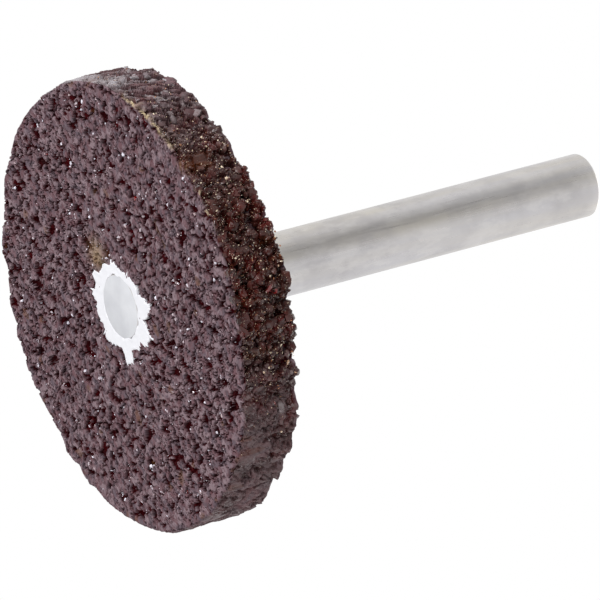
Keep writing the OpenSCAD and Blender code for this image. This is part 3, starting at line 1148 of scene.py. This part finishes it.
makeSpindle("spindle_bar", spindleBar, groundSteel)


# Camera, fitted to the photograph's frame

shot = {
    "place": Vector((3.591, -616.882, -326.273)) * mm,
    "right": Vector((0.25838, -0.47094, 0.84348)),
    "up": Vector((-0.96604, -0.12596, 0.22560)),
    "lens": 463.245,
    "sensor": 36.0,
    "clip": (0.05, 20.0),
}


def makeCamera(values):
    right, up = values["right"].normalized(), values["up"].normalized()
    back = right.cross(up)
    data = bpy.data.cameras.new("camera")
    data.lens, data.sensor_width = values["lens"], values["sensor"]
    data.clip_start, data.clip_end = values["clip"]
    camera = bpy.data.objects.new("camera", data)
    bpy.context.scene.collection.objects.link(camera)
    turn = Matrix((right, up, back)).transposed().to_4x4()
    camera.matrix_world = Matrix.Translation(values["place"]) @ turn
    bpy.context.scene.camera = camera
    return right, up, back


camRight, camUp, camBack = makeCamera(shot)


# Stage: pale floor, white surround, soft lamps

stage = {
    "middle": Vector((0, 0, 12 * mm)),
    "floorSize": 3.0,
    "floorGap": 0.1 * mm,  # below the face that the part stands on, so that the two don't coincide
    "floorColour": (0.86, 0.86, 0.86, 1),
    "ambient": 0.41,
    "overhead": (Vector((0.25, 0.2, 0.8)), 0.85, 0.34),  # place, width and level of a lamp above the floor
}

# Lamps: towards which side of the picture they stand, distance and width in metres, light on a facing surface
lamps = {
    "key": {"toward": (-0.55, 0.72, 0.42), "far": 0.8, "wide": 0.2, "level": 0.33},
    "front": {"toward": (-0.85, -0.1, 0.5), "far": 0.8, "wide": 0.4, "level": 0.12},
    "under": {"toward": (0.1, -0.9, 0.45), "far": 0.8, "wide": 0.5, "level": 0.15},
    "spark": {"toward": (-0.35, 0.3, 0.88), "far": 0.9, "wide": 0.14, "level": 0.18},
    "sparkTwo": {"toward": (-0.1, 0.75, 0.65), "far": 0.9, "wide": 0.14, "level": 0.2},
}
# Small lamps for the crystals' glints, in a spiral from beside the camera out to the side, each turned on by
# the same angle. Those farther to the right than rightTo would show as streaks on the shank, so they stand on
# the left instead
glints = {
    "count": 28,
    "turn": 137.5,
    "outTo": 0.85,
    "rightTo": 0.35,
    "far": 0.9,
    "wide": 0.03,
    "level": 0.0085,
}


def aimLamp(name, place, target, wide, level):
    # An area lamp whose power gives a facing white surface the stated share of full white
    far = (target - place).length
    data = bpy.data.lights.new(name, "AREA")
    data.shape, data.size = "DISK", wide
    data.energy = level * np.pi ** 2 * far ** 2
    lamp = bpy.data.objects.new(name, data)
    lamp.rotation_mode = "QUATERNION"
    lamp.rotation_quaternion = (target - place).to_track_quat("-Z", "Y")
    lamp.location = place
    bpy.context.scene.collection.objects.link(lamp)


def onlySeenBy(obj, camera=False, glossy=False):
    obj.visible_camera, obj.visible_glossy = camera, glossy
    obj.visible_diffuse = obj.visible_transmission = False
    obj.visible_shadow = obj.visible_volume_scatter = False


def squareMesh(name, size):
    mesh = bpy.data.meshes.new(name)
    corners = np.array([(-1, -1, 0), (1, -1, 0), (1, 1, 0), (-1, 1, 0)]) * size / 2
    mesh.from_pydata(corners.tolist(), [], [(0, 1, 2, 3)])
    return mesh


def makeStage(values):
    # The floor is clear from below, so the face that the part stands on can be seen and lit
    floor = bpy.data.objects.new("floor", squareMesh("floor", values["floorSize"]))
    floor.data.transform(Matrix.Translation((0, 0, -values["floorGap"])))
    material, tree, shader = newMaterial("pale floor")
    shader.inputs["Base Color"].default_value = values["floorColour"]
    shader.inputs["Roughness"].default_value = 0.9
    clear = addNode(tree, "ShaderNodeBsdfTransparent")
    behind = addNode(tree, "ShaderNodeNewGeometry").outputs["Backfacing"]
    both = addNode(tree, "ShaderNodeMixShader", {0: behind, 1: shader.outputs[0], 2: clear.outputs[0]})
    tree.links.new(both.outputs[0], tree.nodes["Material Output"].inputs["Surface"])
    floor.data.materials.append(material)
    bpy.context.scene.collection.objects.link(floor)
    onlySeenBy(floor, camera=True)

    for i in range(glints["count"]):
        ahead = 1 - glints["outTo"] * (i + 0.5) / glints["count"]
        turn = np.radians(glints["turn"] * i)
        aside = np.sqrt(1 - ahead ** 2)
        right = aside * np.cos(turn)
        right = -right if right > glints["rightTo"] else right
        lamps["glint" + str(i)] = dict(glints, toward=(right, aside * np.sin(turn), ahead))
    for name, lamp in lamps.items():
        toward = camRight * lamp["toward"][0] + camUp * lamp["toward"][1] + camBack * lamp["toward"][2]
        place = values["middle"] + toward.normalized() * lamp["far"]
        aimLamp(name, place, values["middle"], lamp["wide"], lamp["level"])
    place, wide, level = values["overhead"]
    aimLamp("overhead", place, values["middle"], wide, level)

    world = bpy.data.worlds.new("studio")
    bpy.context.scene.world = world
    world.use_nodes = True
    tree = world.node_tree
    ambient = tree.nodes["Background"]
    ambient.inputs["Strength"].default_value = values["ambient"]
    ambient.inputs["Color"].default_value = (1, 1, 1, 1)
    white = addNode(tree, "ShaderNodeBackground", {"Color": (1, 1, 1, 1), "Strength": 1.0})
    path = addNode(tree, "ShaderNodeLightPath")
    seen = mathNode(tree, "MAXIMUM", path.outputs["Is Camera Ray"], path.outputs["Is Glossy Ray"])
    seen = mathNode(tree, "MAXIMUM", seen, path.outputs["Is Transmission Ray"])
    both = addNode(tree, "ShaderNodeMixShader", {0: seen, 1: ambient.outputs[0], 2: white.outputs[0]})
    tree.links.new(both.outputs[0], tree.nodes["World Output"].inputs["Surface"])


makeStage(stage)

# Dark cards that only a polish shows: one above the shank, one round the camera for the wet grain of the rim
cards = {
    "shank_card": {
        "toward": Vector((-0.485, -0.726, 0.487)),
        "from": Vector((0, 0, 26 * mm)),
        "far": 0.06,
        "size": 0.1,
        "shade": 0.42,  # brightness at its middle, rising to the surround's at its edge
        "fade": (0.08, 0.5),  # where that rise starts and ends, as shares of its size
    },
    "grain_card": {
        "toward": Vector((0, -0.873, -0.487)),
        "from": Vector((0, 0, 3 * mm)),
        "far": 0.4,
        "size": 0.86,
        "shade": 0.03,
        "fade": (0.34, 0.5),
    },
}


def makeCard(name, values):
    mesh = squareMesh(name, values["size"])
    turn = values["toward"].to_track_quat("Z", "Y").to_matrix().to_4x4()
    middle = values["from"] + values["toward"].normalized() * values["far"]
    mesh.transform(Matrix.Translation(middle) @ turn)
    card = bpy.data.objects.new(name, mesh)
    material, tree = newMaterial(name)[:2]
    place = addNode(tree, "ShaderNodeTexCoord").outputs["Object"]
    gap = addNode(tree, "ShaderNodeVectorMath", {0: place, 1: middle}, operation="DISTANCE").outputs["Value"]
    level = ramp(tree, gap, values["shade"], 1.0, *(share * values["size"] for share in values["fade"]))
    glow = addNode(tree, "ShaderNodeEmission", {"Color": (1, 1, 1, 1), "Strength": level})
    clear = addNode(tree, "ShaderNodeBsdfTransparent")
    outside = mathNode(tree, "GREATER_THAN", gap, 0.5 * values["size"])
    both = addNode(tree, "ShaderNodeMixShader", {0: outside, 1: glow.outputs[0], 2: clear.outputs[0]})
    tree.links.new(both.outputs[0], tree.nodes["Material Output"].inputs["Surface"])
    mesh.materials.append(material)
    bpy.context.scene.collection.objects.link(card)
    onlySeenBy(card, glossy=True)


for cardName, cardValues in cards.items():
    makeCard(cardName, cardValues)
bpy.context.scene.view_settings.view_transform = "Standard"
print("stage set")
